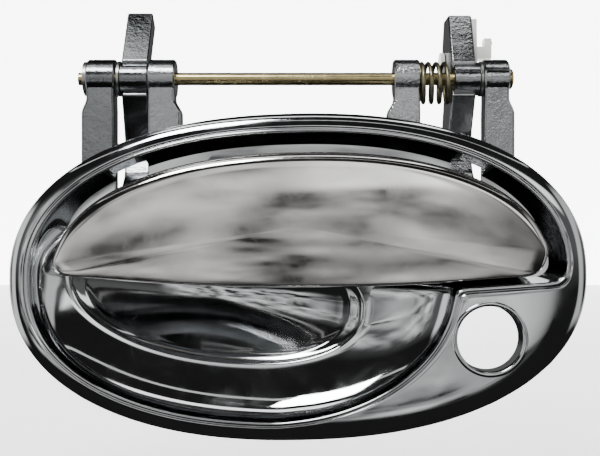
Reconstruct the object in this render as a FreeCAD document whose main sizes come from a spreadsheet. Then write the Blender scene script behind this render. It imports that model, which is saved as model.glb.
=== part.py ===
import FreeCAD, Part
import Sketcher
import math
import os

# Exterior car door handle: an oval chrome bezel with a finger cup and a lock hole, and a
# pull-up paddle that hangs from a pin carried by four ears above the bezel.
# X runs to the right seen from outside, Y runs into the door, Z runs up, in millimetres.
# The origin is the middle of the oval on the outer skin of the door.

V = FreeCAD.Vector
doc = FreeCAD.newDocument("DoorHandle")
sheet = doc.addObject("Spreadsheet::Sheet", "Sizes")

SIZES = [
    ("oval_half_width", 100.0, "half width of the oval flange"),
    ("oval_half_height", 56.6, "half height of the oval flange"),
    ("oval_power", 2.25, "squareness of every oval, 2 is an ellipse"),
    ("oval_tilt", 1.2, "degrees the oval leans, right end up"),
    ("flange_back", -0.6, "depth of the back of the flange"),
    ("flange_crown", -5.2, "depth of the crown of the flange"),
    ("flange_wall", 2.4, "wall of the hollow flange"),
    ("rim_half_width", 92.5, "half width of the mouth of the recess"),
    ("rim_half_height", 49.7, "half height of the mouth of the recess"),
    ("rim_depth", -4.0, "depth where the rolled rim meets the recess wall"),
    ("floor_depth", 8.0, "depth of the floor behind the paddle"),
    ("floor_inset", 3.0, "taper of the recess from mouth to floor"),
    ("scoop_power", 2.2, "how steeply the finger scoop starts"),
    ("shell_wall", 1.8, "wall of the recess"),
    ("scoop_half_width", 64.5, "half width of the right side of the scoop"),
    ("scoop_half_height", 47.7, "half height of the right side of the scoop"),
    ("scoop_middle", -10.5, "middle of the scoop"),
    ("ledge_height", -4.0, "height of the ledge under the right of the paddle"),
    ("cup_left", -83.0, "left end of the inner cup"),
    ("cup_right", 25.0, "right end of the inner cup"),
    ("cup_bottom", -32.2, "lowest edge of the inner cup"),
    ("cup_top", 17.0, "top edge of the inner cup, behind the paddle"),
    ("cup_lip", 0.88, "size of the cup below its rounded lip"),
    ("cup_depth", 23.0, "depth of the cup"),
    ("lock_place", 66.0, "lock hole to the right"),
    ("lock_height", -21.3, "lock hole below the middle"),
    ("lock_radius", 11.2, "bore for the lock cylinder"),
    ("lock_lip", 12.3, "outer radius of the rounded lip of the lock bore"),
    ("lock_boss", 14.0, "outer radius of the lock tube"),
    ("lock_back", 2.5, "depth of the back of the lock tube"),
    ("pin_depth", 16.0, "depth of the hinge pin"),
    ("pin_height", 71.3, "height of the hinge pin"),
    ("pin_radius", 2.3, "hinge pin"),
    ("pin_left", -80.0, "left end of the hinge pin"),
    ("pin_right", 76.35, "underside of the head of the hinge pin"),
    ("pin_head_radius", 3.8, "head of the hinge pin"),
    ("pin_head_thick", 1.9, "head of the hinge pin"),
    ("pin_fit", 0.05, "running clearance of the hinge pin"),
    ("ear_radius", 7.0, "barrel of each ear"),
    ("ear_thick", 8.8, "depth of the strap below each ear"),
    ("strap_front", 10.2, "front of the strap below each ear"),
    ("shoulder", 60.0, "height of the shoulder where each strap widens"),
    ("lever_radius", 6.0, "barrel of each lever arm"),
    ("bush_radius", 3.8, "outside of each lever bush"),
    ("bush_wall", 1.45, "wall of each lever bush"),
    ("washer_radius", 6.4, "thrust washers"),
    ("washer_thick", 0.8, "thrust washers"),
    ("clip_radius", 6.2, "push-on retainer of the pin"),
    ("clip_thick", 1.2, "push-on retainer of the pin"),
    ("slot_side", 1.2, "side clearance of each lever slot"),
    ("slot_bottom", 18.5, "lower end of each lever slot"),
    ("slot_top", 50.0, "upper end of each lever slot"),
    ("paddle_half_width", 86.3, "half width of the paddle"),
    ("paddle_half_height", 43.1, "height of the top of the paddle"),
    ("paddle_middle", 1.15, "middle of the paddle"),
    ("paddle_lip", -3.6, "height of the lowest point of the paddle"),
    ("paddle_lip_rise", 3.7, "rise of the lower lip towards its ends"),
    ("paddle_back", -0.9, "depth of the back edge of the paddle skin"),
    ("paddle_crown", -8.0, "depth of the crown of the paddle"),
    ("skin_wall", 1.5, "wall of the paddle skin"),
    ("skin_grip", 0.04, "press of the paddle skin on the lever frame"),
    ("frame_front", -3.6, "front of the lever frame plate"),
    ("frame_back", -0.6, "back of the lever frame plate"),
    ("gasket_back", 0.0, "depth of the back of the gasket, the door skin"),
    ("gasket_thick", 1.5, "gasket"),
    ("gasket_outset", 1.5, "inset of the outer edge of the gasket"),
    ("gasket_inset", 4.6, "inset of the inner edge of the gasket"),
    ("stud_place", 74.0, "studs to each side"),
    ("stud_height", 22.0, "height of the studs"),
    ("stud_radius", 3.0, "M6 stud"),
    ("stud_root", 2.6, "unthreaded neck at the free end of the stud"),
    ("stud_end", 30.0, "depth of the free end of each stud"),
    ("stud_boss", 5.6, "boss each stud is welded on"),
    ("boss_rise", 2.2, "height of the boss above the back of the floor"),
    ("bumper_place", 35.0, "bumpers to each side"),
    ("bumper_height", 28.0, "height of the bumpers"),
    ("bumper_radius", 4.0, "rubber bumper"),
    ("bumper_stem", 2.0, "stem of the bumper"),
    ("bumper_gap", 0.3, "gap between bumper and recess floor"),
    ("spring_radius", 7.0, "middle radius of the return spring"),
    ("spring_wire", 1.5, "wire of the return spring"),
    ("spring_turns", 4.0, "turns of the return spring"),
    ("spring_left", 45.0, "left end of the coils"),
    ("spring_right", 54.5, "right end of the coils"),
    ("spring_drop", 1.5, "how far the coils hang below the pin"),
    ("peg_depth", 30.5, "depth of the rod clip peg"),
    ("peg_height", 79.0, "height of the rod clip peg"),
    ("peg_radius", 2.2, "rod clip peg"),
    ("peg_fit", 0.08, "running clearance of the rod clip peg"),
]
for row, (alias, value, meaning) in enumerate(SIZES, start=1):
    sheet.set("A%d" % row, alias)
    sheet.set("B%d" % row, "%g" % value)
    sheet.set("C%d" % row, meaning)
    sheet.setAlias("B%d" % row, alias)
doc.recompute()


def size(alias):
    return float(sheet.get(alias))


# ---------------------------------------------------------------- outlines

def lean(x, z):
    """Turn a point of the oval by the lean of the whole handle."""
    angle = math.radians(size("oval_tilt"))
    return (x * math.cos(angle) - z * math.sin(angle),
            x * math.sin(angle) + z * math.cos(angle))


def oval_point(half_width, half_height, turn, power=None):
    """Point of a superellipse, spaced evenly along an ellipse of the same size."""
    power = power or size("oval_power")
    across = math.cos(turn) * half_width
    up = math.sin(turn) * half_height
    angle = math.atan2(up, across)
    reach = (abs(math.cos(angle) / half_width) ** power
             + abs(math.sin(angle) / half_height) ** power) ** (-1.0 / power)
    return (reach * math.cos(angle), reach * math.sin(angle))


def oval(inset, count=48):
    points = []
    for k in range(count):
        x, z = oval_point(size("oval_half_width") - inset, size("oval_half_height") - inset,
                          2 * math.pi * k / count)
        points.append(lean(x, z))
    return points


def bend(a, corner, b, share):
    """Point on the rounding of a corner between a and b."""
    keep = 1.0 - share
    return tuple(keep * keep * a[i] + 2 * keep * share * corner[i] + share * share * b[i]
                 for i in (0, 1))


def smooth(value):
    value = max(0.0, min(1.0, value))
    return value * value * (3.0 - 2.0 * value)


def mix(a, b, share):
    return tuple(a[i] + (b[i] - a[i]) * share for i in (0, 1))


def spaced(points, depth, knots=None):
    """Closed smooth wire through points at one depth."""
    places = [V(x, depth, z) for x, z in points]
    curve = Part.BSplineCurve()
    if knots is None:
        curve.interpolate(Points=places, PeriodicFlag=True)
    else:
        curve.interpolate(Points=places, PeriodicFlag=True, Parameters=knots)
    return Part.Wire([curve.toShape()])


def knots_of(points):
    """Spacing of the points along their outline, shared by every section of a loft."""
    knots = [0.0]
    for k in range(len(points)):
        a = points[k]
        b = points[(k + 1) % len(points)]
        knots.append(knots[-1] + math.hypot(b[0] - a[0], b[1] - a[1]))
    return [k / knots[-1] for k in knots]


def loft(sections, knots=None):
    """Solid through (points, depth) sections, one slice between each pair."""
    knots = knots or knots_of(sections[0][0])
    wires = [spaced(points, depth, knots) for points, depth in sections]
    sides = []
    for k in range(len(wires) - 1):
        slice_solid = Part.makeLoft(wires[k:k + 2], True, True)
        for face in slice_solid.Faces:
            if face.BoundBox.YLength > 0.01:
                sides.append(face)
    sides.append(Part.Face(wires[0]))
    sides.append(Part.Face(wires[-1]))
    shell = Part.Shell(sides)
    shell.sewShape()
    solid = Part.Solid(shell)
    if solid.Volume < 0:
        solid.reverse()
    return solid


def slab(points, y0, y1):
    """Straight slice with one outline between two depths."""
    return Part.Face(spaced(points, y0)).extrude(V(0, y1 - y0, 0))


def block(x0, x1, y0, y1, z0, z1):
    return Part.makeBox(x1 - x0, y1 - y0, z1 - z0, V(x0, y0, z0))


def bar(x0, x1, y, z, radius):
    """Round bar along X."""
    return Part.makeCylinder(radius, x1 - x0, V(x0, y, z), V(1, 0, 0))


def post(x, z, y0, y1, radius):
    """Round post along Y."""
    return Part.makeCylinder(radius, y1 - y0, V(x, y0, z), V(0, 1, 0))


def side_plate(x0, x1, corners):
    """Plate across X whose (y, z, radius) corners are rounded."""
    edges = []
    count = len(corners)
    starts = []
    ends = []
    arcs = []
    for k in range(count):
        y, z, radius = corners[k]
        here = V(x0, y, z)
        before = V(x0, corners[k - 1][0], corners[k - 1][1]) - here
        after = V(x0, corners[(k + 1) % count][0], corners[(k + 1) % count][1]) - here
        before.normalize()
        after.normalize()
        if radius <= 0:
            starts.append(here)
            ends.append(here)
            arcs.append(None)
            continue
        half = before.getAngle(after) / 2
        run = radius / math.tan(half)
        middle = before + after
        middle.normalize()
        centre = here + middle * (radius / math.sin(half))
        starts.append(here + before * run)
        ends.append(here + after * run)
        arcs.append(centre - middle * radius)
    for k in range(count):
        if arcs[k] is not None:
            edges.append(Part.Arc(starts[k], arcs[k], ends[k]).toShape())
        following = starts[(k + 1) % count]
        if (following - ends[k]).Length > 1e-6:
            edges.append(Part.makeLine(ends[k], following))
    face = Part.Face(Part.Wire(Part.__sortEdges__(edges)))
    return face.extrude(V(x1 - x0, 0, 0))


def recess(share, grow=0.0):
    """Outline of the recess, share 0 at its mouth and 1 at its floor, grown outwards."""
    wide = size("rim_half_width") + grow
    high = size("rim_half_height") + grow
    inset = size("floor_inset")
    ledge = size("ledge_height") - grow
    steep = size("scoop_power")
    middle = size("scoop_middle")
    cup_middle = -13.5
    points = []
    # Upper wall, from the right end over the top to the left end.
    for k in range(25):
        turn = math.radians(4.0 + 176.0 * k / 24)
        near_left = smooth((turn - math.radians(140)) / math.radians(40))
        mouth = lean(*oval_point(wide, high, turn))
        deep = inset + near_left * (wide - grow + size("cup_left") - inset)
        floor = lean(*oval_point(wide - deep, high - inset, turn))
        power = 1.0 + near_left * (steep - 1.0)
        points.append(mix(mouth, floor, share ** power if share > 0 else 0.0))
    # Lower left of the scoop.
    last = math.radians(264.5)
    for k in range(1, 13):
        turn = math.pi + (last - math.pi) * k / 12
        mouth = lean(*oval_point(wide, high, turn))
        sweep = math.pi + (math.pi / 2) * k / 12
        floor = (cup_middle + (cup_middle - size("cup_left") + grow) * math.cos(sweep),
                 (size("cup_bottom") - grow) * -math.sin(sweep) * 1.0)
        points.append(mix(mouth, floor, share ** steep if share > 0 else 0.0))
    # Lower right of the scoop, up to the corner under the paddle.
    for k in range(1, 12):
        sweep = -math.pi / 2 + math.radians(83.0) * k / 11
        mouth = (middle + (size("scoop_half_width") + grow) * math.cos(sweep),
                 -2.0 + (size("scoop_half_height") + grow) * math.sin(sweep))
        x, z = oval_point(size("cup_right") - cup_middle + grow, -12.0 - size("cup_bottom") + grow,
                          -math.pi / 2 + math.radians(80.0) * k / 11, 2.2)
        floor = (cup_middle + x, -12.0 + z)
        points.append(mix(mouth, floor, share ** steep if share > 0 else 0.0))
    # Corner and ledge, then the right end.
    edge = (middle + (size("scoop_half_width") + grow) * math.cos(math.radians(-7.0)),
            -2.0 + (size("scoop_half_height") + grow) * math.sin(math.radians(-7.0)))
    shelf = (edge[0] + 3.5, ledge + 0.25)
    for k in range(1, 4):
        mouth = bend(edge, (edge[0] + 0.4, ledge), shelf, k / 3.0)
        floor = bend((size("cup_right") + grow, -12.0), (size("cup_right") + grow, ledge + 1.5),
                     (31.0 + grow, ledge + 1.5), k / 3.0)
        points.append(mix(mouth, floor, share ** steep if share > 0 else 0.0))
    right = wide - 6.5
    for k in range(1, 6):
        part = k / 5.0
        mouth = mix(shelf, (right, ledge + 2.3), part)
        floor = mix((31.0 + grow, ledge + 1.5), (right - inset, ledge + 3.4), part)
        power = steep + (1.0 - steep) * smooth(part)
        points.append(mix(mouth, floor, share ** power if share > 0 else 0.0))
    first = points[0]
    low = points[-1]
    for k in range(1, 4):
        points.append(bend(low, (first[0] + 0.2, low[1] + 0.3), first, k / 4.0))
    return points


def cup(scale, grow=0.0):
    """Outline of the inner cup, scaled about its middle."""
    left = size("cup_left") - grow
    right = size("cup_right") + grow
    bottom = size("cup_bottom") - grow
    points = []
    middle = -13.5
    half = (right - left) / 2
    centre = ((right + left) / 2, -6.0)
    rise = size("cup_top") + grow - centre[1]
    for k in range(20):
        turn = math.pi * k / 20
        points.append((centre[0] + math.cos(turn) * half,
                       centre[1] - 6.0 * math.cos(turn) + rise * math.sin(turn)))
    for k in range(12):
        turn = math.pi + (math.pi / 2) * k / 12
        points.append((middle + (middle - left) * math.cos(turn), -bottom * math.sin(turn)))
    for k in range(12):
        turn = -math.pi / 2 + (math.pi / 2) * k / 12
        x, z = oval_point(right - middle, -12.0 - bottom, turn, 2.2)
        points.append((middle + x, -12.0 + z))
    heart = (-30.0, -7.0)
    return [mix(heart, p, scale) for p in points]


def paddle(inset, scale=1.0):
    """Outline of the paddle: the top of an oval over a nearly straight lower lip."""
    wide = size("paddle_half_width") - inset
    high = size("paddle_half_height") - inset
    lip = size("paddle_lip") + inset
    rise = size("paddle_lip_rise")
    centre = size("paddle_middle")
    points = []
    for k in range(31):
        turn = math.radians(10.0 + 161.0 * k / 30)
        x, z = oval_point(wide, high, turn)
        x, z = lean(x, z)
        points.append((centre + x, z))
    left = points[-1]
    right = points[0]
    reach = 79.0 - inset

    def lower(x):
        return lip + rise * (x / 79.0) ** 2

    corner_left = (-reach - 4.2, lower(-reach) + 0.7)
    corner_right = (reach + 6.0, lower(reach) + 0.7)
    for k in range(1, 4):
        points.append(bend(left, corner_left, (-reach, lower(-reach)), k / 4.0))
    for k in range(15):
        x = -reach + 2 * reach * k / 14
        points.append((x, lower(x)))
    for k in range(1, 4):
        points.append(bend((reach, lower(reach)), corner_right, right, k / 4.0))
    return [mix((centre, 19.5), p, scale) for p in points]


# ---------------------------------------------------------------- assembly helpers

def finished(name, shape):
    """A sub-part made with the Part functions."""
    part = doc.addObject("Part::Feature", name)
    part.Label = name
    part.Shape = shape
    part.Placement = FreeCAD.Placement()
    return part


def new_body(name):
    body = doc.addObject("PartDesign::Body", name)
    body.Label = name
    body.Placement = FreeCAD.Placement()
    return body


def plane_of(body, role):
    for item in body.Origin.OriginFeatures:
        if item.Role == role:
            return item
    raise ValueError(role)


def sketch_on(body, name, role, offset):
    """Sketch on an origin plane, its height bound to the sizes."""
    sketch = body.newObject("Sketcher::SketchObject", name)
    sketch.AttachmentSupport = [(plane_of(body, role), "")]
    sketch.MapMode = "FlatFace"
    sketch.setExpression("AttachmentOffset.Base.z", offset)
    return sketch


def ring(sketch, across, up, radius):
    """Circle whose centre and radius are bound to the sizes."""
    index = sketch.addGeometry(Part.Circle(V(1, 1, 0), V(0, 0, 1), 1.0), False)
    number = sketch.addConstraint(Sketcher.Constraint("Radius", index, 1.0))
    sketch.setExpression("Constraints[%d]" % number, radius)
    number = sketch.addConstraint(Sketcher.Constraint("DistanceX", -1, 1, index, 3, 1.0))
    sketch.setExpression("Constraints[%d]" % number, across)
    number = sketch.addConstraint(Sketcher.Constraint("DistanceY", -1, 1, index, 3, 1.0))
    sketch.setExpression("Constraints[%d]" % number, up)


def pad(body, name, sketch, length):
    feature = body.newObject("PartDesign::Pad", name)
    feature.Profile = sketch
    feature.setExpression("Length", length)
    sketch.Visibility = False
    body.Tip = feature
    return feature


# ---------------------------------------------------------------- bezel housing

def make_flange():
    back = size("flange_back")
    crown = size("flange_crown")
    steps = [(0.9, back), (0.2, back - 0.5), (0.0, back - 1.1), (0.6, back - 2.0),
             (2.4, back - 3.0), (5.0, back - 3.7), (9.0, back - 4.1), (20.0, crown + 0.1),
             (36.0, crown)]
    sections = [(oval(inset), depth) for inset, depth in steps]
    dome = loft(sections)
    hollow = slab(oval(8.6), crown + size("flange_wall"), back + 1.0)
    return dome, hollow


# Each ear: barrel from left to right, strap from left to right, lowest point.
EARS = [(-76.4, -66.1, -78.0, -66.1, 31.0), (-54.1, -44.5, -54.1, -42.2, 34.0),
        (34.7, 44.1, 32.4, 44.1, 34.0), (67.1, 76.2, 67.1, 78.0, 31.0)]
# Each lever arm from left to right.
ARMS = [(-63.8, -54.3), (55.5, 64.3)]


def make_housing():
    floor = size("floor_depth")
    rim = size("rim_depth")
    wall = size("shell_wall")
    dome, hollow = make_flange()
    body = dome.cut(hollow)

    outer = []
    inner = [(recess(0.0, 1.6), rim - 3.2), (recess(0.0, 0.6), rim - 1.0)]
    for share in (0.0, 0.25, 0.5, 0.75, 1.0):
        depth = rim + (floor - rim) * share
        inner.append((recess(share), depth))
        outer.append((recess(share, wall), depth + wall * share + 0.6 * (1 - share)))
    knots = knots_of(recess(0.0))
    shell = loft(outer, knots)
    space = loft(inner, knots)

    deep = size("cup_depth")
    lip = size("cup_lip")
    bowl = [(cup(0.98), floor - 1.5), (cup(0.96), floor + 0.6), (cup(lip), floor + 2.0)]
    cover = [(cup(0.98, wall), floor + 0.4), (cup(0.97, wall), floor + 2.0),
             (cup(lip + 0.02, wall), floor + 3.6)]
    for step in (0.12, 0.25, 0.4, 0.55, 0.7, 0.85, 0.94):
        size_now = lip * (1.0 - step)
        depth = floor + 2.0 + (deep - floor - 2.0) * (1.0 - (1.0 - step) ** 1.8)
        bowl.append((cup(size_now), depth))
        cover.append((cup(size_now + 0.03, wall), depth + wall))
    knots = knots_of(cup(1.0))
    bowl = loft(bowl, knots)
    cover = loft(cover, knots)

    # Lock tube and stud bosses on the back.
    lock_x = size("lock_place")
    lock_z = size("lock_height")
    tube = post(lock_x, lock_z, size("flange_crown") + 1.6, size("lock_back"), size("lock_boss"))
    parts = [shell, cover, tube]
    for side in (-1, 1):
        parts.append(post(side * size("stud_place"), size("stud_height"), floor + 0.5,
                          floor + wall + size("boss_rise"), size("stud_boss")))

    # Four ears: a barrel for the pin on a strap that widens below a shoulder.
    y = size("pin_depth")
    z = size("pin_height")
    front = size("strap_front")
    back = front + size("ear_thick")
    for left, right, wide_left, wide_right, foot in EARS:
        parts.append(bar(left, right, y, z, size("ear_radius")))
        shoulder = size("shoulder")
        outline = [(left, z), (left, shoulder + 3.0), (wide_left, shoulder - 1.0),
                   (wide_left, foot), (wide_right, foot), (wide_right, shoulder - 1.0),
                   (right, shoulder + 3.0), (right, z)]
        corners = []
        for point in outline:
            if not corners or point != corners[-1]:
                corners.append(point)
        wire = Part.makePolygon([V(px, front, pz) for px, pz in corners + corners[:1]])
        parts.append(Part.Face(wire).extrude(V(0, back - front, 0)))
        parts.append(block(wide_left, wide_right, floor - 2.0, back, foot, foot + 6.0))
    for shape in parts:
        body = body.fuse(shape)

    # Hollows.
    body = body.cut(space)
    body = body.cut(bowl)
    body = body.cut(post(lock_x, lock_z, -20, 40, size("lock_radius")))
    lip_front = size("flange_crown") - 1.0
    cone = Part.makeCone(size("lock_lip") + 1.0, size("lock_radius"), 3.0,
                         V(lock_x, lip_front, lock_z), V(0, 1, 0))
    body = body.cut(cone)
    body = body.cut(bar(-90, 90, y, z, size("pin_radius") + size("pin_fit")))
    for left, right in ARMS:
        clear = size("slot_side")
        body = body.cut(side_plate(left - clear, right + clear,
                                   [(1.5, size("slot_bottom"), 0), (40.0, size("slot_bottom"), 0),
                                    (40.0, size("slot_top"), 0), (9.5, size("slot_top"), 0),
                                    (1.5, 43.5, 0)]))

    # Rebate for the gasket in the back of the flange.
    rebate = slab(oval(1.3), -size("gasket_thick"), 2.0)
    keep = slab(oval(4.8), -size("gasket_thick") - 1, 3.0)
    body = body.cut(rebate.cut(keep))
    return body


housing = make_housing()
finished("bezel_housing", housing)

# ---------------------------------------------------------------- gasket

outside = slab(oval(size("gasket_outset")), size("gasket_back") - size("gasket_thick"),
               size("gasket_back"))
inside = slab(oval(size("gasket_inset")), -4.0, 4.0)
finished("door_gasket", outside.cut(inside))

# ---------------------------------------------------------------- studs

for side, word in ((-1, "left"), (1, "right")):
    body = new_body("mounting_stud_" + word)
    place = "Sizes.stud_place * %d" % side
    sketch = sketch_on(body, "stud_outline_" + word, "XZ_Plane", "-Sizes.stud_end + 3")
    ring(sketch, place, "Sizes.stud_height", "Sizes.stud_radius")
    pad(body, "stud_shank_" + word, sketch,
        "Sizes.stud_end - 3 - Sizes.floor_depth - Sizes.shell_wall - Sizes.boss_rise")
    sketch = sketch_on(body, "stud_tip_outline_" + word, "XZ_Plane", "-Sizes.stud_end")
    ring(sketch, place, "Sizes.stud_height", "Sizes.stud_root")
    pad(body, "stud_tip_" + word, sketch, "3")
    for feature in body.Group:
        if feature.TypeId == "PartDesign::Pad":
            feature.Reversed = False

# ---------------------------------------------------------------- hinge pin and its fittings

body = new_body("hinge_pin")
sketch = sketch_on(body, "pin_outline", "YZ_Plane", "Sizes.pin_left")
ring(sketch, "Sizes.pin_depth", "Sizes.pin_height", "Sizes.pin_radius")
pad(body, "pin_shank", sketch, "Sizes.pin_right - Sizes.pin_left")
sketch = sketch_on(body, "pin_head_outline", "YZ_Plane", "Sizes.pin_right")
ring(sketch, "Sizes.pin_depth", "Sizes.pin_height", "Sizes.pin_head_radius")
pad(body, "pin_head", sketch, "Sizes.pin_head_thick")
doc.recompute()
edges = []
for number, edge in enumerate(body.Tip.Shape.Edges, start=1):
    if edge.BoundBox.XMin > size("pin_right") + size("pin_head_thick") - 0.01:
        edges.append("Edge%d" % number)
rounded = body.newObject("PartDesign::Fillet", "pin_head_round")
rounded.Base = (doc.getObject("pin_head"), edges)
rounded.Radius = 1.2
body.Tip = rounded

body = new_body("pin_retainer")
sketch = sketch_on(body, "retainer_outline", "YZ_Plane", "-76.5 - Sizes.clip_thick")
ring(sketch, "Sizes.pin_depth", "Sizes.pin_height", "Sizes.clip_radius")
ring(sketch, "Sizes.pin_depth", "Sizes.pin_height", "Sizes.pin_radius")
pad(body, "retainer_disc", sketch, "Sizes.clip_thick")

BARRELS = [("left", "-64.6", "10.3", "-65.4"), ("right", "56.3", "9.7", "66.0")]
for word, start, length, face in BARRELS:
    body = new_body("lever_bush_" + word)
    sketch = sketch_on(body, "bush_outline_" + word, "YZ_Plane", start)
    ring(sketch, "Sizes.pin_depth", "Sizes.pin_height", "Sizes.bush_radius")
    ring(sketch, "Sizes.pin_depth", "Sizes.pin_height", "Sizes.bush_radius - Sizes.bush_wall")
    pad(body, "bush_" + word, sketch, length)
    body = new_body("thrust_washer_" + word)
    sketch = sketch_on(body, "washer_outline_" + word, "YZ_Plane", face)
    ring(sketch, "Sizes.pin_depth", "Sizes.pin_height", "Sizes.washer_radius")
    ring(sketch, "Sizes.pin_depth", "Sizes.pin_height", "Sizes.pin_radius + Sizes.pin_fit")
    pad(body, "washer_" + word, sketch, "Sizes.washer_thick")

# ---------------------------------------------------------------- paddle skin

def make_skin():
    back = size("paddle_back")
    crown = size("paddle_crown")
    wall = size("skin_wall")
    outer = [(paddle(0.0), back), (paddle(0.0), -3.0), (paddle(0.1), -4.6), (paddle(0.5), -5.6),
             (paddle(1.2), -6.3), (paddle(1.2, 0.93), -6.9), (paddle(1.2, 0.78), -7.5),
             (paddle(1.2, 0.5), crown + 0.1), (paddle(1.2, 0.2), crown)]
    inner = [(paddle(wall), back + 1.0), (paddle(wall), -3.0), (paddle(wall + 0.1), -3.8),
             (paddle(wall + 0.6), -4.5), (paddle(wall + 0.6, 0.93), -5.3),
             (paddle(wall + 0.6, 0.76), -6.0), (paddle(wall + 0.6, 0.5), crown + wall + 0.1),
             (paddle(wall + 0.6, 0.2), crown + wall)]
    knots = knots_of(paddle(0.0))
    return loft(outer, knots).cut(loft(inner, knots))


finished("handle_skin", make_skin())

# ---------------------------------------------------------------- lever frame

def make_frame():
    grip = size("skin_wall") - size("skin_grip")
    plate = slab(paddle(grip), size("frame_front"), size("frame_back"))
    y = size("pin_depth")
    z = size("pin_height")
    barrels = [(-64.6, -54.3), (56.3, 66.0)]
    uppers = [
        [(12.6, 74.5, 0), (11.6, 77.4, 0), (24.7, 97.8, 1.0), (31.3, 93.3, 2.0), (17.1, 72.2, 0)],
        [(12.6, 74.5, 0), (12.0, 77.2, 0), (21.0, 95.8, 1.0), (32.0, 95.8, 1.0), (35.8, 86.0, 3.0),
         (35.8, 73.5, 4.0), (24.0, 69.0, 0), (16.0, 71.0, 0)],
    ]
    lowers = [
        [(14.0, 69.0, 0), (11.6, 65.2, 0), (18.0, 50.0, 6.0), (20.6, 43.0, 4.0),
         (17.0, 35.8, 3.0), (7.0, 27.8, 3.0), (-1.0, 27.4, 0), (-1.0, 19.9, 0), (3.0, 19.9, 2.0),
         (30.0, 24.0, 8.0), (36.0, 36.0, 8.0), (36.0, 50.0, 8.0), (22.0, 71.0, 0)],
        [(14.0, 69.0, 0), (11.6, 65.2, 0), (20.0, 52.0, 6.0), (21.5, 43.0, 4.0),
         (17.0, 37.0, 3.0), (7.0, 30.5, 3.0), (-1.0, 30.0, 0), (-1.0, 19.9, 0), (3.0, 19.9, 2.0),
         (30.0, 24.0, 8.0), (37.5, 36.0, 8.0), (38.0, 52.0, 6.0), (30.0, 72.0, 0)],
    ]
    body = plate
    for k in (0, 1):
        left, right = ARMS[k]
        body = body.fuse(side_plate(left, right, uppers[k]))
        body = body.fuse(side_plate(left, right, lowers[k]))
        body = body.fuse(bar(barrels[k][0], barrels[k][1], y, z, size("lever_radius")))
    # Stiffening ribs along the plate between the arms.
    for height in (22.3, 26.4):
        body = body.fuse(block(-56.0, 57.0, size("frame_back") - 0.5, 2.4, height - 1.0, height + 1.0))
    body = body.cut(bar(-90, 90, y, z, size("bush_radius")))
    body = body.cut(bar(50, 70, size("peg_depth"), size("peg_height"),
                        size("peg_radius") + size("peg_fit")))
    for side in (-1, 1):
        body = body.cut(post(side * size("bumper_place"), size("bumper_height"),
                             size("frame_front") - 2, 0.5, size("bumper_stem")))
        body = body.cut(post(side * size("bumper_place"), size("bumper_height"),
                             size("frame_back"), 5.0, size("bumper_radius") + 0.05))
    return body.removeSplitter()


finished("handle_lever", make_frame())

# ---------------------------------------------------------------- bumpers

for side, word in ((-1, "left"), (1, "right")):
    body = new_body("stop_bumper_" + word)
    place = "Sizes.bumper_place * %d" % side
    sketch = sketch_on(body, "bumper_outline_" + word, "XZ_Plane",
                       "-Sizes.floor_depth + Sizes.bumper_gap")
    ring(sketch, place, "Sizes.bumper_height", "Sizes.bumper_radius")
    pad(body, "bumper_pad_" + word, sketch,
        "Sizes.floor_depth - Sizes.bumper_gap - Sizes.frame_back")
    sketch = sketch_on(body, "bumper_stem_outline_" + word, "XZ_Plane", "-Sizes.frame_back")
    ring(sketch, place, "Sizes.bumper_height", "Sizes.bumper_stem")
    pad(body, "bumper_stem_" + word, sketch, "Sizes.frame_back - Sizes.frame_front - 0.2")

# ---------------------------------------------------------------- return spring

def make_spring():
    radius = size("spring_radius")
    y = size("pin_depth")
    z = size("pin_height") - size("spring_drop")
    turns = size("spring_turns")
    left = size("spring_left")
    right = size("spring_right")
    steps = int(turns * 18)
    path = [V(36.5, 19.95, 63.0), V(39.5, 19.95, 63.0), V(42.5, 20.0, 63.0),
            V(left - 0.5, 20.6, 64.0), V(left, 22.2, 66.6)]
    for k in range(steps + 1):
        angle = 2 * math.pi * turns * k / steps
        share = max(0.0, min(1.0, (turns * k / steps - 0.5) / (turns - 0.75)))
        x = left + (right - left) * share
        path.append(V(x, y + radius * math.cos(angle), z + radius * math.sin(angle)))
    path += [V(right + 0.1, y + radius - 0.1, z + 2.4)]
    curve = Part.BSplineCurve()
    curve.interpolate(Points=path)
    spine = Part.Wire([curve.toShape()])
    start = curve.tangent(curve.FirstParameter)[0]
    circle = Part.Wire([Part.Circle(path[0], start, size("spring_wire") / 2).toShape()])
    return Part.Wire(spine).makePipeShell([circle], True, False)


finished("return_spring", make_spring())

# ---------------------------------------------------------------- rod clip

def make_clip():
    y = size("peg_depth")
    z = size("peg_height")
    radius = size("peg_radius")
    # Eye on the outer side of the lever, peg through it and a round head inside.
    body = bar(64.6, 67.4, y, z, 4.6)
    body = body.fuse(bar(54.0, 66.0, y, z, radius))
    body = body.fuse(bar(53.8, 55.2, y, z, 4.4))
    # Plate up the lever, web of the rod channel and the locking tab with its nub.
    body = body.fuse(side_plate(64.6, 67.4, [(y - 4.4, z, 0), (y - 3.4, 91.0, 1.0),
                                             (y - 3.2, 96.0, 1.0), (y + 1.8, 96.0, 1.0),
                                             (y + 4.4, z, 0)]))
    body = body.fuse(block(67.0, 71.0, y - 3.0, y + 3.0, 80.9, 85.4))
    body = body.fuse(side_plate(70.5, 73.0, [(y - 3.0, 80.9, 0.6), (y - 3.0, 88.7, 1.0),
                                             (y + 3.0, 88.7, 1.0), (y + 3.0, 80.9, 0.6)]))
    body = body.fuse(bar(72.8, 73.8, y, 87.2, 0.6))
    return body.removeSplitter()


finished("rod_clip", make_clip())

# ---------------------------------------------------------------- finish

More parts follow.
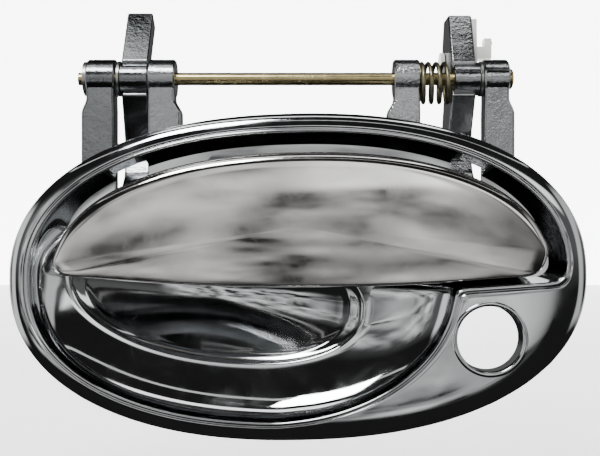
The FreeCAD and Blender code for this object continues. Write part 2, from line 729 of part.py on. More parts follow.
doc.recompute()
os.makedirs("parts", exist_ok=True)
NODES = [
    "bezel_housing", "door_gasket", "mounting_stud_left", "mounting_stud_right", "hinge_pin",
    "pin_retainer", "lever_bush_left", "lever_bush_right", "thrust_washer_left",
    "thrust_washer_right", "return_spring", "handle_skin", "handle_lever", "stop_bumper_left",
    "stop_bumper_right", "rod_clip",
]
for item in doc.Objects:
    for word in ("Invalid", "Error"):
        if word in item.State:
            raise ValueError(item.Name + " " + word)
for name in NODES:
    shape = doc.getObject(name).Shape
    if shape.isNull() or not shape.isValid():
        raise ValueError(name + " has a bad shape")
    shape.exportStep("parts/" + name + ".step")
    box = shape.BoundBox
    print("%-22s vol %9.1f solids %d  x %.1f %.1f y %.1f %.1f z %.1f %.1f" % (
        name, shape.Volume, len(shape.Solids), box.XMin, box.XMax, box.YMin, box.YMax,
        box.ZMin, box.ZMax))
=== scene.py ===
import bpy, bmesh, math
import numpy as np
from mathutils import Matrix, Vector


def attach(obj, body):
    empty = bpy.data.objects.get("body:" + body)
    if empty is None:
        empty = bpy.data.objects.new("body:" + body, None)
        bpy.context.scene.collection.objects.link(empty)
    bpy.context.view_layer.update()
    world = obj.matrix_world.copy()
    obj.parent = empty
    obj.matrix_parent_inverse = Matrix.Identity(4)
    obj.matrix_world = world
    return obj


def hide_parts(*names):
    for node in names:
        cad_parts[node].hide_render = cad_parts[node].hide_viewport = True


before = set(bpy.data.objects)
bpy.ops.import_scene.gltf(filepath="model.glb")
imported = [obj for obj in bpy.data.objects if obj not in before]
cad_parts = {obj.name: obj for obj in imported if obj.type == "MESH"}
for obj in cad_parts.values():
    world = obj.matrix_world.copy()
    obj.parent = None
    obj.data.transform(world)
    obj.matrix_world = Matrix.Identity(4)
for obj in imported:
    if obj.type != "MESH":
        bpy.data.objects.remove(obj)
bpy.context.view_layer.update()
MM = 0.001
TILT = math.radians(1.2)
N_POW = 2.25
PIN_DEPTH, PIN_HEIGHT = 16, 71.3
LOCK_X, LOCK_Z = 66, -21.3

# ------------------------------------------------------------ outlines, in mm as (x, z)
def lean(x, z):
    return (x * math.cos(TILT) - z * math.sin(TILT), x * math.sin(TILT) + z * math.cos(TILT))

def oval_point(w, h, turn, power=N_POW):
    a = math.atan2(math.sin(turn) * h, math.cos(turn) * w)
    r = (abs(math.cos(a) / w) ** power + abs(math.sin(a) / h) ** power) ** (-1 / power)
    return (r * math.cos(a), r * math.sin(a))

def mix(a, b, s):
    return (a[0] + (b[0] - a[0]) * s, a[1] + (b[1] - a[1]) * s)

def bend(a, c, b, s):
    k = 1 - s
    return tuple(k * k * a[i] + 2 * k * s * c[i] + s * s * b[i] for i in (0, 1))

def smooth(v):
    v = max(0.0, min(1.0, v))
    return v * v * (3 - 2 * v)

def recess(share, grow=0.0):
    wide, high, inset, ledge, steep = 92.5 + grow, 49.7 + grow, 3.0, -4.0 - grow, 2.2
    pts = []
    def put(m, f, p):
        pts.append(mix(m, f, share ** p if share > 0 else 0.0))
    for k in range(25):
        t = math.radians(4 + 176 * k / 24)
        near = smooth((t - math.radians(140)) / math.radians(40))
        deep = inset + near * (9.5 - inset)
        put(lean(*oval_point(wide, high, t)), lean(*oval_point(wide - deep, high - inset, t)),
            1 + near * (steep - 1))
    last = math.radians(264.5)
    for k in range(1, 13):
        t = math.pi + (last - math.pi) * k / 12
        s = math.pi + math.pi / 2 * k / 12
        put(lean(*oval_point(wide, high, t)),
            (-13.5 + (69.5 + grow) * math.cos(s), (32.2 + grow) * math.sin(s)), steep)
    for k in range(1, 12):
        s = -math.pi / 2 + math.radians(83) * k / 11
        x, z = oval_point(38.5 + grow, 20.2 + grow, -math.pi / 2 + math.radians(80) * k / 11, 2.2)
        put((-10.5 + (64.5 + grow) * math.cos(s), -2 + (47.7 + grow) * math.sin(s)),
            (-13.5 + x, -12 + z), steep)
    edge_turn = math.radians(-7)
    e = (-10.5 + (64.5 + grow) * math.cos(edge_turn), -2 + (47.7 + grow) * math.sin(edge_turn))
    shelf = (e[0] + 3.5, ledge + 0.25)
    for k in range(1, 4):
        put(bend(e, (e[0] + 0.4, ledge), shelf, k / 3),
            bend((25 + grow, -12), (25 + grow, ledge + 1.5), (31 + grow, ledge + 1.5), k / 3), steep)
    right = wide - 6.5
    for k in range(1, 6):
        q = k / 5
        put(mix(shelf, (right, ledge + 2.3), q),
            mix((31 + grow, ledge + 1.5), (right - inset, ledge + 3.4), q),
            steep + (1 - steep) * smooth(q))
    first, low = pts[0], pts[-1]
    for k in range(1, 4):
        pts.append(bend(low, (first[0] + 0.2, low[1] + 0.3), first, k / 4))
    return pts

def cup(scale, grow=0.0):
    """The inner cup, with one point for each point of the recess."""
    l, r, b = -83 - grow, 25 + grow, -32.2 - grow
    half, cx, rise = (r - l) / 2, (r + l) / 2, 23.0 + grow
    def top(t):
        return (cx + math.cos(t) * half, -6 - 6 * math.cos(t) + rise * math.sin(t))
    pts = [top(math.radians(32 + 148 * k / 24)) for k in range(25)]
    for k in range(1, 13):
        s = math.pi + math.pi / 2 * k / 12
        pts.append((-13.5 + (-13.5 - l) * math.cos(s), -b * math.sin(s)))
    for k in range(1, 12):
        x, z = oval_point(r + 13.5, -12 - b, -math.pi / 2 + math.radians(80) * k / 11, 2.2)
        pts.append((-13.5 + x, -12 + z))
    x, z = oval_point(r + 13.5, -12 - b, math.radians(-10), 2.2)
    for k in range(1, 4):
        pts.append(bend((-13.5 + x, -12 + z), (r, -12), top(math.radians(4)), k / 3))
    for k in range(1, 6):
        pts.append(top(math.radians(4 + 16 * k / 5)))
    for k in range(1, 4):
        pts.append(top(math.radians(20 + 3 * k)))
    return [mix((-30, -7), p, scale) for p in pts]

REC0 = recess(0.0)
def oval_match(inset):
    """The outer oval, with one point for each point of the recess."""
    w, h = 100 - inset, 56.6 - inset
    turns = [math.radians(4 + 176 * k / 24) for k in range(25)]
    last = math.radians(264.5)
    turns += [math.pi + (last - math.pi) * k / 12 for k in range(1, 13)]
    n = len(REC0) - len(turns)
    end = 2 * math.pi + math.radians(4)
    turns += [last + (end - last) * k / (n + 1) for k in range(1, n + 1)]
    return [lean(*oval_point(w, h, t)) for t in turns]

def paddle():
    pts = []
    for k in range(31):
        x, z = lean(*oval_point(86.3, 43.1, math.radians(10 + 161 * k / 30)))
        pts.append((1.15 + x, z))
    left, right, reach = pts[-1], pts[0], 79.0
    low = lambda x: -3.6 + 3.7 * (x / 79) ** 2
    for k in range(1, 4):
        pts.append(bend(left, (-reach - 4.2, low(reach) + 0.7), (-reach, low(reach)), k / 4))
    for k in range(15):
        x = -reach + 2 * reach * k / 14
        pts.append((x, low(x)))
    for k in range(1, 4):
        pts.append(bend((reach, low(reach)), (reach + 6, low(reach) + 0.7), right, k / 4))
    return pts

def knots_of(p):
    p = np.array(p)
    return np.concatenate([[0], np.cumsum(np.linalg.norm(np.roll(p, -1, 0) - p, axis=1) ** 0.6)])

def dense(p, knots, per=5):
    """Smooth closed curve through the points, per points for each stretch."""
    p = np.array(p, float)
    n = len(p)
    h = np.diff(knots)
    d = (np.roll(p, -1, 0) - p) / h[:, None]
    hp = np.roll(h, 1)
    dp = np.roll(d, 1, 0)
    m = (dp * h[:, None] + d * hp[:, None]) / (h + hp)[:, None]
    out = []
    for k in range(n):
        a, b, ma, mb = p[k], p[(k + 1) % n], m[k] * h[k], m[(k + 1) % n] * h[k]
        for j in range(per):
            s = j / per
            out.append((2*s**3 - 3*s*s + 1) * a + (s**3 - 2*s*s + s) * ma
                       + (3*s*s - 2*s**3) * b + (s**3 - s*s) * mb)
    return np.array(out)

# ------------------------------------------------------------ mesh helpers
def new_object(name, verts, faces, smooth_faces=True):
    me = bpy.data.meshes.new(name)
    me.from_pydata([tuple(v) for v in verts], [], faces)
    me.validate()
    bm = bmesh.new(); bm.from_mesh(me)
    bmesh.ops.remove_doubles(bm, verts=bm.verts, dist=1e-7)
    bmesh.ops.recalc_face_normals(bm, faces=bm.faces)
    bm.to_mesh(me); bm.free()
    me.polygons.foreach_set("use_smooth", [smooth_faces] * len(me.polygons))
    o = bpy.data.objects.new(name, me)
    bpy.context.scene.collection.objects.link(o)
    return o

def rings_object(name, rings, cap_first=True, cap_last=True):
    """rings: list of (N,3) arrays in mm; the ends are closed with a fan."""
    n = len(rings[0])
    verts = [v * MM for r in rings for v in r]
    faces = []
    for i in range(len(rings) - 1):
        for k in range(n):
            a, b = i * n + k, i * n + (k + 1) % n
            faces.append((a, b, b + n, a + n))
    if cap_first:
        verts.append(rings[0].mean(0) * MM); c = len(verts) - 1
        faces += [(c, (k + 1) % n, k) for k in range(n)]
    if cap_last:
        verts.append(rings[-1].mean(0) * MM); c = len(verts) - 1
        s = (len(rings) - 1) * n
        faces += [(c, s + k, s + (k + 1) % n) for k in range(n)]
    return new_object(name, verts, faces)

def at(xz, y):
    xz = np.array(xz, float)
    y = np.broadcast_to(np.asarray(y, float), (len(xz),))
    return np.stack([xz[:, 0], y, xz[:, 1]], 1)

def sharpen(o, angle=35):
    o.data.set_sharp_from_angle(angle=math.radians(angle))
    return o

def prism_faces(n):
    """Both ends and the sides of a prism whose ends have n points each."""
    ends = [tuple(range(n)), tuple(range(2 * n - 1, n - 1, -1))]
    return ends + [(k, (k + 1) % n, n + (k + 1) % n, n + k) for k in range(n)]

def bevel(o, width, seg=3, angle=30):
    m = o.modifiers.new("bevel", "BEVEL")
    m.width, m.segments, m.limit_method, m.angle_limit = width * MM, seg, "ANGLE", math.radians(angle)
    m.harden_normals = True
    return o

def lathe(name, profile, centre, axis, count=72):
    """Closed profile of (along, radius) in mm, turned round an axis X or Y."""
    verts, faces = [], []
    for k in range(count):
        t = 2 * math.pi * k / count
        for a, r in profile:
            across, up = r * math.cos(t), r * math.sin(t)
            p = (a, across, up) if axis == "X" else (across, a, up)
            verts.append([(p[i] + centre[i]) * MM for i in range(3)])
    n = len(profile)
    for k in range(count):
        for j in range(n):
            a, b = k * n + j, k * n + (j + 1) % n
            c, d = ((k + 1) % count) * n + (j + 1) % n, ((k + 1) % count) * n + j
            faces.append((a, b, c, d))
    return sharpen(new_object(name, verts, faces), 40)

def profile_plate(name, x0, x1, yz, round_mm=0.7):
    """Plate across X with a (y, z) outline."""
    n = len(yz)
    verts = [(x * MM, y * MM, z * MM) for x in (x0, x1) for y, z in yz]
    return bevel(new_object(name, verts, prism_faces(n)), round_mm)

def front_plate(name, xz, y0, y1, round_mm=0.8):
    """Plate facing the front with an (x, z) outline."""
    n = len(xz)
    verts = [(x * MM, y * MM, z * MM) for y in (y0, y1) for x, z in xz]
    return bevel(new_object(name, verts, prism_faces(n)), round_mm, 4, 15)

def rounded(corners, steps=6):
    """Outline through (y, z, run) corners, each cut back by run and rounded."""
    pts = []
    n = len(corners)
    for k in range(n):
        here = np.array(corners[k][:2], float)
        run = corners[k][2] if len(corners[k]) > 2 else 0
        if not run:
            pts.append(tuple(here))
            continue
        a = np.array(corners[k - 1][:2], float) - here
        b = np.array(corners[(k + 1) % n][:2], float) - here
        a, b = here + a / np.linalg.norm(a) * run, here + b / np.linalg.norm(b) * run
        pts += [bend(a, here, b, j / steps) for j in range(steps + 1)]
    return pts

def boolean(o, cutter, op="DIFFERENCE"):
    m = o.modifiers.new("b", "BOOLEAN")
    m.object, m.operation, m.solver = cutter, op, "EXACT"
    dg = bpy.context.evaluated_depsgraph_get()
    me = bpy.data.meshes.new_from_object(o.evaluated_get(dg))
    o.modifiers.clear()
    o.data = me
    bpy.data.objects.remove(cutter)

# ------------------------------------------------------------ materials
def nodes_of(name):
    m = bpy.data.materials.new(name)
    m.use_nodes = True
    nt = m.node_tree
    return m, nt, nt.nodes["Principled BSDF"]

def noise(nt, scale, detail=4, rough=0.5, stretch=(1, 1, 1), dist=0.0):
    tc = nt.nodes.new("ShaderNodeTexCoord")
    mp = nt.nodes.new("ShaderNodeMapping")
    mp.inputs["Scale"].default_value = stretch
    nz = nt.nodes.new("ShaderNodeTexNoise")
    nz.inputs["Scale"].default_value = scale
    nz.inputs["Detail"].default_value = detail
    nz.inputs["Roughness"].default_value = rough
    nz.inputs["Distortion"].default_value = dist
    nt.links.new(tc.outputs["Object"], mp.inputs["Vector"])
    nt.links.new(mp.outputs["Vector"], nz.inputs["Vector"])
    return nz.outputs["Fac"]

def ramp(nt, fac, stops):
    r = nt.nodes.new("ShaderNodeValToRGB")
    e = r.color_ramp.elements
    while len(e) < len(stops):
        e.new(0.5)
    for k, (pos, c) in enumerate(stops):
        e[k].position = pos
        e[k].color = (c[0], c[1], c[2], 1) if not isinstance(c, float) else (c, c, c, 1)
    nt.links.new(fac, r.inputs["Fac"])
    return r.outputs["Color"]

def bump(nt, bsdf, facs):
    last = None
    for fac, strength, dist in facs:
        b = nt.nodes.new("ShaderNodeBump")
        b.inputs["Strength"].default_value = strength
        b.inputs["Distance"].default_value = dist * MM
        nt.links.new(fac, b.inputs["Height"])
        if last is not None:
            nt.links.new(last, b.inputs["Normal"])
        last = b.outputs["Normal"]
    nt.links.new(last, bsdf.inputs["Normal"])

def chrome(name, tint=(0.74, 0.75, 0.76), wave=0.05, grit=0.0, rough=(0.03, 0.12)):
    m, nt, b = nodes_of(name)
    b.inputs["Metallic"].default_value = 1.0
    smudge = noise(nt, 60, 6, 0.6, dist=0.6)
    shade = tuple(c * 0.93 for c in tint)
    nt.links.new(ramp(nt, smudge, [(0.3, shade), (0.6, tint)]), b.inputs["Base Color"])
    nt.links.new(ramp(nt, smudge, [(0.42, rough[0]), (0.72, rough[1])]), b.inputs["Roughness"])
    facs = [(noise(nt, 22, 2, 0.4), wave, 1.0)]
    if grit:
        facs.append((noise(nt, 900, 3, 0.6), grit, 0.25))
        facs.append((noise(nt, 220, 3, 0.6), grit * 0.7, 0.6))
    else:
        facs.append((noise(nt, 500, 2, 0.5, (1, 1, 14)), 0.012, 0.1))
    bump(nt, b, facs)
    return m

def plain(name, color, rough, metallic=0.0, vary=0.12, scale=300, bumpy=0.1):
    m, nt, b = nodes_of(name)
    b.inputs["Metallic"].default_value = metallic
    n = noise(nt, scale, 5, 0.6)
    low = tuple(c * (1 - vary) for c in color)
    high = tuple(min(1, c * (1 + vary)) for c in color)
    nt.links.new(ramp(nt, n, [(0.3, low), (0.7, high)]), b.inputs["Base Color"])
    nt.links.new(ramp(nt, n, [(0.3, rough * 0.85), (0.7, min(1.0, rough * 1.2))]), b.inputs["Roughness"])
    bump(nt, b, [(n, bumpy, 0.2)])
    return m

M_BEZEL = chrome("bezel_chrome", wave=0.10)
M_PADDLE = chrome("paddle_chrome", tint=(0.72, 0.71, 0.69), wave=0.12, rough=(0.05, 0.16))
M_LEVER = chrome("lever_chrome", tint=(0.46, 0.47, 0.48), wave=0.3, grit=0.35, rough=(0.10, 0.28))
# Darker copy of the lever chrome, used on the left lever and the far-left ear: painted shade.
M_SHADED_CHROME = chrome("lever_painted_shade", tint=(0.26, 0.27, 0.28), wave=0.25, grit=0.25, rough=(0.10, 0.28))
M_ROUGH = chrome("ear_rough", tint=(0.60, 0.61, 0.62), wave=0.3, grit=1.0, rough=(0.16, 0.36))
M_PIN = plain("pin_gold", (0.62, 0.52, 0.27), 0.24, 1.0, 0.18, 250)
M_SPRING = plain("spring_olive", (0.34, 0.31, 0.20), 0.32, 1.0, 0.25, 400)
M_STEEL = plain("washer_steel", (0.52, 0.52, 0.50), 0.3, 1.0)
M_BRASS = plain("bush_brass", (0.66, 0.52, 0.28), 0.3, 1.0)
M_RUBBER = plain("rubber_black", (0.03, 0.03, 0.03), 0.65, 0.0, 0.2, 400, 0.3)
M_NYLON = plain("nylon_white", (0.88, 0.88, 0.85), 0.42, 0.0, 0.03, 200, 0.08)

def dress(o, mat, body):
    o.data.materials.clear()
    o.data.materials.append(mat)
    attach(o, body)
    return o

# ------------------------------------------------------------ bezel
KN = knots_of(REC0)
def D(p): return dense(p, KN)
def dome(xz):
    """Depth of the flange face at points, from how far they lie inside the outer oval."""
    c, s = math.cos(-TILT), math.sin(-TILT)
    x, z = xz[:, 0] * c - xz[:, 1] * s, xz[:, 0] * s + xz[:, 1] * c
    rho = (np.abs(x / 100) ** N_POW + np.abs(z / 56.6) ** N_POW) ** (1 / N_POW)
    inset = np.maximum(0, np.hypot(x, z) * (1 / np.maximum(rho, 1e-6) - 1))
    return -2.3 - 2.45 * (1 - np.exp(-inset / 3.0)) - 0.5 * (1 - np.exp(-inset / 14.0))

def bowl_depth(scale):
    """Depth of the inside of the cup where its outline is scaled by this much."""
    return 10.0 + 13.0 * (1 - (max(0.0, scale) / 0.88) ** 1.8)

rings = []
for s in (0.06, 0.2, 0.35, 0.5, 0.62, 0.74, 0.84, 0.91):
    rings.append(at(D(cup(s, 1.8)), min(24.7, bowl_depth(s - 0.03) + 1.8)))
rings.append(at(D(cup(0.97, 1.8)), 10.2))
for s, y in ((1.0, 9.8), (0.9, 8.6), (0.75, 6.8), (0.5, 3.6), (0.25, 0.4), (0.0, -2.6)):
    rings.append(at(D(recess(s, 1.8)), y))
back_in = D(recess(0.0, 2.2))
for t in (0.0, 0.5, 1.0):
    r = back_in * (1 - t) + D(oval_match(8.0)) * t if t < 1 else D(oval_match(5.0))
    rings.append(at(r, -2.9))
rings.append(at(D(oval_match(4.8)), -0.7))
for i, y in ((2.8, -0.6), (0.9, -0.6), (0.45, -0.72), (0.15, -1.0), (0.0, -1.5), (0.0, -1.9)):
    rings.append(at(D(oval_match(i)), y))
for i in (0.12, 0.4, 0.8, 1.4, 2.2):
    xz = D(oval_match(i))
    rings.append(at(xz, dome(xz) + 0.42 * math.exp(-i / 0.35)))
outer, inner = D(oval_match(2.2)), D(recess(0.0, 2.3))
for k in range(1, 13):
    xz = outer + (inner - outer) * k / 12
    rings.append(at(xz, dome(xz)))
# The rolled rim of the recess: a groove, then a bead.
for g, dy in ((2.1, 0.06), (1.9, 0.3), (1.75, 0.34), (1.6, 0.2), (1.4, -0.15), (1.1, -0.4),
              (0.8, -0.48), (0.5, -0.38), (0.25, -0.1), (0.08, 0.4)):
    xz = D(recess(0.0, g))
    rings.append(at(xz, dome(xz) + dy))
for k in range(0, 25):
    s = k / 24
    rings.append(at(D(recess(s)), -4.0 + 12 * s))
# The rounded lip of the cup, then its inside.
for s, y in ((0.985, 8.05), (0.975, 8.2), (0.965, 8.5), (0.955, 8.9), (0.93, 9.4), (0.90, 9.85),
             (0.885, 10.1), (0.875, 10.5)):
    rings.append(at(D(cup(s)), y))
for k in range(1, 25):
    q = 0.872 * (1 - k / 25)
    rings.append(at(D(cup(q)), bowl_depth(q) + 0.3 * q))
bezel = rings_object("bezel_shell", rings)

def cylinder(x, z, y0, y1, r, n=96):
    turns = [2 * math.pi * k / n for k in range(n)]
    v = [((x + r * math.cos(t)) * MM, y * MM, (z + r * math.sin(t)) * MM) for y in (y0, y1) for t in turns]
    return new_object("cutter", v, prism_faces(n), False)

def prism(x0, x1, yz):
    n = len(yz)
    v = [(x * MM, y * MM, z * MM) for x in (x0, x1) for y, z in yz]
    return new_object("cutter", v, prism_faces(n), False)

boolean(bezel, cylinder(LOCK_X, LOCK_Z, -20, 40, 12.0))
for x0, x1 in ((-65.0, -53.1), (54.3, 65.5)):
    boolean(bezel, prism(x0, x1, [(1.5, 18.5), (40, 18.5), (40, 50), (9.5, 50), (1.5, 43.5)]))
sharpen(bezel, 50)
dress(bezel, M_BEZEL, "bezel")

lip_y = float(dome(np.array([[LOCK_X, LOCK_Z]], float))[0])
lip = [(lip_y + 0.6, 13.4), (lip_y - 0.05, 13.0), (lip_y - 0.35, 12.6), (lip_y - 0.45, 12.2),
       (lip_y - 0.35, 11.8), (lip_y - 0.05, 11.45), (lip_y + 0.5, 11.25), (lip_y + 1.2, 11.2),
       (2.5, 11.2), (2.5, 14.0), (lip_y + 1.2, 14.0)]
tube = lathe("lock_tube", lip, (LOCK_X, 0, LOCK_Z), "Y", 96)
dress(tube, M_BEZEL, "bezel")
bits = [tube]
for side, word in ((-1, "left"), (1, "right")):
    boss = lathe("stud_boss_" + word, [(8.4, 2.9), (8.4, 5.6), (11.5, 5.6), (12.0, 5.1), (12.0, 2.9)],
                 (side * 74, 0, 22), "Y", 40)
    bits.append(dress(boss, M_LEVER, "bezel"))
# The far-left ear gets the darker copy of the lever chrome, which is painted shade.
M_EAR = {"a": M_SHADED_CHROME, "b": M_LEVER, "c": M_ROUGH, "d": M_LEVER}
EARS = (("a", -76.4, -66.1, -78.0, -66.1, 31.0), ("b", -54.1, -44.5, -54.1, -42.2, 34.0),
        ("c", 34.7, 44.1, 32.4, 44.1, 34.0), ("d", 67.1, 76.2, 67.1, 78.0, 31.0))
for w, l, r, wl, wr, foot in EARS:
    o = lathe("ear_barrel_" + w, [(l, 2.4), (l, 6.5), (l + 0.5, 7.0), (r - 0.5, 7.0), (r, 6.5), (r, 2.4)],
              (0, PIN_DEPTH, PIN_HEIGHT), "X", 64)
    bits.append(dress(o, M_EAR[w], "bezel"))
    outline = [(l + 0.1, 68.6), (l + 0.1, 63), (wl, 59), (wl, foot),
               (wr, foot), (wr, 59), (r - 0.1, 63), (r - 0.1, 68.6)]
    o = front_plate("ear_strap_" + w, outline, 10.2, 19.0, 1.0)
    bits.append(dress(o, M_EAR[w], "bezel"))
    o = profile_plate("ear_foot_" + w, wl + 0.2, wr - 0.2,
                      [(9.0, foot + 4), (9.0, foot + 0.2), (12, foot + 0.2), (12, foot + 4)], 0.3)
    bits.append(dress(o, M_EAR[w], "bezel"))
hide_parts("bezel_housing")
for o in bits:
    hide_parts("bezel_housing")

# ------------------------------------------------------------ paddle
P = paddle()
KP = knots_of(P)
PO = dense(P, KP, 5)
tan = np.roll(PO, -1, 0) - np.roll(PO, 1, 0)
nrm = np.stack([-tan[:, 1], tan[:, 0]], 1)
nrm /= np.linalg.norm(nrm, axis=1)[:, None]
up = np.clip((PO[:, 1] + 2) / 26, 0, 1)
roll = 1.1 + 3.2 * up * up * (3 - 2 * up)
heart = np.array([1.15, 17.5])
rings = [at(heart + (PO + nrm * 1.6 - heart) * 0.5, -4.5), at(PO + nrm * 1.6, -4.5),
         at(PO + nrm * 1.6, -0.9), at(PO + nrm * 0.5, -0.9), at(PO + nrm * 0.12, -1.05), at(PO, -1.5)]
for y in (-2.2, -2.9):
    rings.append(at(PO, y))
for k in range(1, 13):
    a = math.pi / 2 * k / 12
    rings.append(at(PO + nrm * (roll * (1 - math.cos(a)))[:, None], -2.9 - 3.3 * math.sin(a)))
top = PO + nrm * roll[:, None]
for k in range(1, 20):
    q = 1 - k / 20
    rings.append(at(heart + (top - heart) * q, -6.2 - 1.8 * (1 - q ** 2.0)))
pad = rings_object("paddle_skin", rings)
sharpen(pad, 60)
dress(pad, M_PADDLE, "handle")
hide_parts("handle_skin")

# ------------------------------------------------------------ levers
PLATE = PO + nrm * 1.7
o = rings_object("lever_plate", [at(PLATE, -3.6), at(PLATE, -0.6)])
sharpen(o); dress(o, M_LEVER, "handle")
lever_bits = [o]
# Side outlines of the lever arms as (y, z, run of the rounding).
LOW = {"left": rounded([(14, 67.5), (11.8, 65.2), (18, 50, 3), (20.6, 43, 2.5), (17, 35.8, 2),
                        (7, 27.8, 1.5), (-0.8, 27.4), (-0.8, 19.9), (3, 19.9, 1), (30, 24, 5),
                        (36, 36, 4), (36, 50, 3.5), (22, 70)]),
       "right": rounded([(14, 67.5), (11.8, 65.2), (20, 52, 3), (21.5, 43, 2.5), (17, 37, 2),
                         (7, 30.5, 1.5), (-0.8, 30), (-0.8, 19.9), (3, 19.9, 1), (30, 24, 5),
                         (37.5, 36, 4), (38, 52, 3), (30, 71)])}
TOP = {"left": rounded([(12.6, 74.5), (11.8, 77.4), (24.7, 97.6, 0.8), (31.2, 93.3, 1.2), (17.3, 72.4)]),
       "right": rounded([(12.6, 74.5), (12.2, 77.2), (21, 95.8, 0.8), (32, 95.8, 0.8),
                         (35.8, 86, 2), (35.8, 73.5, 2.5), (24, 69.4), (16, 71)])}
# The left lever gets the darker copy of the lever chrome, which is painted shade; the right lever gets the
# plain lever chrome.
for w, x0, x1, b0, b1 in (("left", -63.8, -54.3, -64.6, -54.3), ("right", 55.5, 64.3, 56.3, 66.0)):
    for nm, prof in (("lower", LOW[w]), ("upper", TOP[w])):
        o = profile_plate("lever_%s_%s" % (nm, w), x0, x1, prof, 0.8)
        lever_bits.append(dress(o, M_SHADED_CHROME if w == "left" else M_LEVER, "handle"))
    o = lathe("lever_barrel_" + w,
              [(b0, 3.8), (b0, 5.6), (b0 + 0.4, 6.0), (b1 - 0.4, 6.0), (b1, 5.6), (b1, 3.8)],
              (0, PIN_DEPTH, PIN_HEIGHT), "X", 64)
    lever_bits.append(dress(o, M_SHADED_CHROME if w == "left" else M_LEVER, "handle"))
for h in (22.3, 26.4):
    o = profile_plate("lever_rib_%d" % h, -56, 57,
                      [(-1.1, h - 1), (2.4, h - 1), (2.4, h + 1), (-1.1, h + 1)], 0.4)
    lever_bits.append(dress(o, M_LEVER, "handle"))
for o in lever_bits:
    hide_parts("handle_lever")

# ------------------------------------------------------------ CAD pieces that stay
STAY = {"door_gasket": M_RUBBER, "mounting_stud_left": M_STEEL, "mounting_stud_right": M_STEEL,
        "hinge_pin": M_PIN, "pin_retainer": M_STEEL, "lever_bush_left": M_BRASS,
        "lever_bush_right": M_BRASS, "thrust_washer_left": M_STEEL, "thrust_washer_right": M_STEEL,
        "return_spring": M_SPRING, "stop_bumper_left": M_RUBBER, "stop_bumper_right": M_RUBBER,
        "rod_clip": M_NYLON}
for n, mat in STAY.items():
    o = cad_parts[n]
    o.data.materials.clear()
    o.data.materials.append(mat)

# ------------------------------------------------------------ stage, light, camera
me = bpy.data.meshes.new("floor")
me.from_pydata([(-3, -3, -0.075), (3, -3, -0.075), (3, 3, -0.075), (-3, 3, -0.075)], [], [(0, 1, 2, 3)])
floor = bpy.data.objects.new("floor", me)
bpy.context.scene.collection.objects.link(floor)
fm, nt, b = nodes_of("floor_white")
b.inputs["Base Color"].default_value = (0.92, 0.92, 0.92, 1)
b.inputs["Roughness"].default_value = 0.9
b.inputs["Emission Color"].default_value = (1, 1, 1, 1)
b.inputs["Emission Strength"].default_value = 0.5
me.materials.append(fm)
floor.visible_glossy = False

wall_mesh = bpy.data.meshes.new("backdrop")
wall_mesh.from_pydata([(-3, 1.2, -0.6), (3, 1.2, -0.6), (3, 1.2, 3), (-3, 1.2, 3)], [], [(0, 1, 2, 3)])
backdrop = bpy.data.objects.new("backdrop", wall_mesh)
bpy.context.scene.collection.objects.link(backdrop)
wm, nt, b = nodes_of("backdrop_white")
b.inputs["Base Color"].default_value = (1, 1, 1, 1)
b.inputs["Emission Color"].default_value = (1, 1, 1, 1)
b.inputs["Emission Strength"].default_value = 6.5
wall_mesh.materials.append(wm)
backdrop.visible_glossy = False

# Pale walls on the other three sides, which give no light and aren't mirrored.
CORNERS = [(-3, 1.2), (-3, -3), (3, -3), (3, 1.2)]
side_mesh = bpy.data.meshes.new("surround")
side_mesh.from_pydata([(x, y, z) for z in (-0.6, 3) for x, y in CORNERS], [],
                      [(k, k + 1, k + 5, k + 4) for k in range(3)])
surround = bpy.data.objects.new("surround", side_mesh)
bpy.context.scene.collection.objects.link(surround)
sm, nt, b = nodes_of("surround_pale")
b.inputs["Base Color"].default_value = (0, 0, 0, 1)
b.inputs["Emission Color"].default_value = (1, 1, 1, 1)
b.inputs["Emission Strength"].default_value = 0.85
side_mesh.materials.append(sm)
surround.visible_glossy = surround.visible_diffuse = surround.visible_shadow = False

world = bpy.data.worlds.new("studio")
bpy.context.scene.world = world
world.use_nodes = True
wt = world.node_tree
bg = wt.nodes["Background"]
tc = wt.nodes.new("ShaderNodeTexCoord")
sep = wt.nodes.new("ShaderNodeSeparateXYZ")
wt.links.new(tc.outputs["Generated"], sep.inputs["Vector"])

def math_node(op, a, b=None, c=None, clamp=False):
    n = wt.nodes.new("ShaderNodeMath")
    n.operation, n.use_clamp = op, clamp
    for k, v in enumerate((a, b, c)):
        if v is None:
            continue
        if isinstance(v, (int, float)):
            n.inputs[k].default_value = v
        else:
            wt.links.new(v, n.inputs[k])
    return n.outputs[0]

X, Y, Z = sep.outputs["X"], sep.outputs["Y"], sep.outputs["Z"]

def band(v, lo, hi, soft):
    """1 between lo and hi, falling to 0 over soft on both sides."""
    up = math_node("DIVIDE", math_node("SUBTRACT", v, lo - soft), soft, clamp=True)
    down = math_node("DIVIDE", math_node("SUBTRACT", hi + soft, v), soft, clamp=True)
    return math_node("MULTIPLY", up, down)

def times(*f):
    out = f[0]
    for g in f[1:]:
        out = math_node("MULTIPLY", out, g)
    return out

def plus(*f):
    out = f[0]
    for g in f[1:]:
        out = math_node("ADD", out, g)
    return out

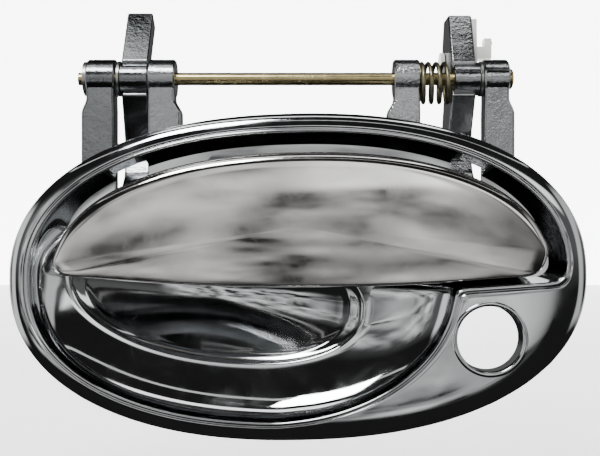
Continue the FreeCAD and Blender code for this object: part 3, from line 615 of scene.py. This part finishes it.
# Mirrored studio: mostly dark, with a mottled wall and a panel in front, thin strips above and
# one upright strip on each side.
base = math_node("MULTIPLY_ADD", band(Z, 0.05, 0.30, 0.15), 0.10, 0.015)
cloud = wt.nodes.new("ShaderNodeTexNoise")
cloud.inputs["Scale"].default_value = 9.0
cloud.inputs["Detail"].default_value = 5.0
wt.links.new(tc.outputs["Generated"], cloud.inputs["Vector"])
front = band(Y, -1.0, -0.72, 0.12)
wall = times(front, band(Z, -0.36, 0.30, 0.08), band(X, -0.62, 0.24, 0.12))
wall = times(wall, math_node("MULTIPLY_ADD", cloud.outputs["Fac"], 3.4, -1.25, clamp=True))
panel = times(band(Z, 0.26, 0.37, 0.04), band(X, 0.02, 0.60, 0.10), band(Y, -1.0, 0.0, 0.2))
strip = times(plus(band(Z, 0.925, 0.955, 0.012), times(band(Z, 0.72, 0.735, 0.01), 0.35)),
              band(Y, -1.0, 0.0, 0.1))
side = times(band(X, 0.80, 0.93, 0.05), band(Z, -0.3, 0.5, 0.1))
left = times(band(X, -0.96, -0.86, 0.04), band(Z, -0.4, 0.4, 0.1))
total = plus(base, wall, times(panel, 1.5), times(strip, 2.6), times(side, 0.6), times(left, 0.9))
mirror_color = wt.nodes.new("ShaderNodeCombineColor")
for key in ("Red", "Green", "Blue"):
    wt.links.new(total, mirror_color.inputs[key])
wt.links.new(mirror_color.outputs[0], bg.inputs["Color"])
bg.inputs["Strength"].default_value = 1.0

def area(name, where, look, size_x, size_y, power):
    l = bpy.data.lights.new(name, "AREA")
    l.shape, l.size, l.size_y, l.energy = "RECTANGLE", size_x, size_y, power
    o = bpy.data.objects.new(name, l)
    bpy.context.scene.collection.objects.link(o)
    o.location = where
    o.rotation_euler = (Vector(look) - Vector(where)).to_track_quat("-Z", "Y").to_euler()
    return o

area("key", (-0.25, -0.55, 0.75), (0, 0, 0.0), 0.35, 0.25, 6.0)

cam = bpy.data.cameras.new("camera")
cam.sensor_width = 36
cam.lens = 56.83
co = bpy.data.objects.new("camera", cam)
bpy.context.scene.collection.objects.link(co)
co.location = (0.0007, -0.330, 0.0169)
co.rotation_euler = (math.pi / 2, 0, 0)
bpy.context.scene.camera = co
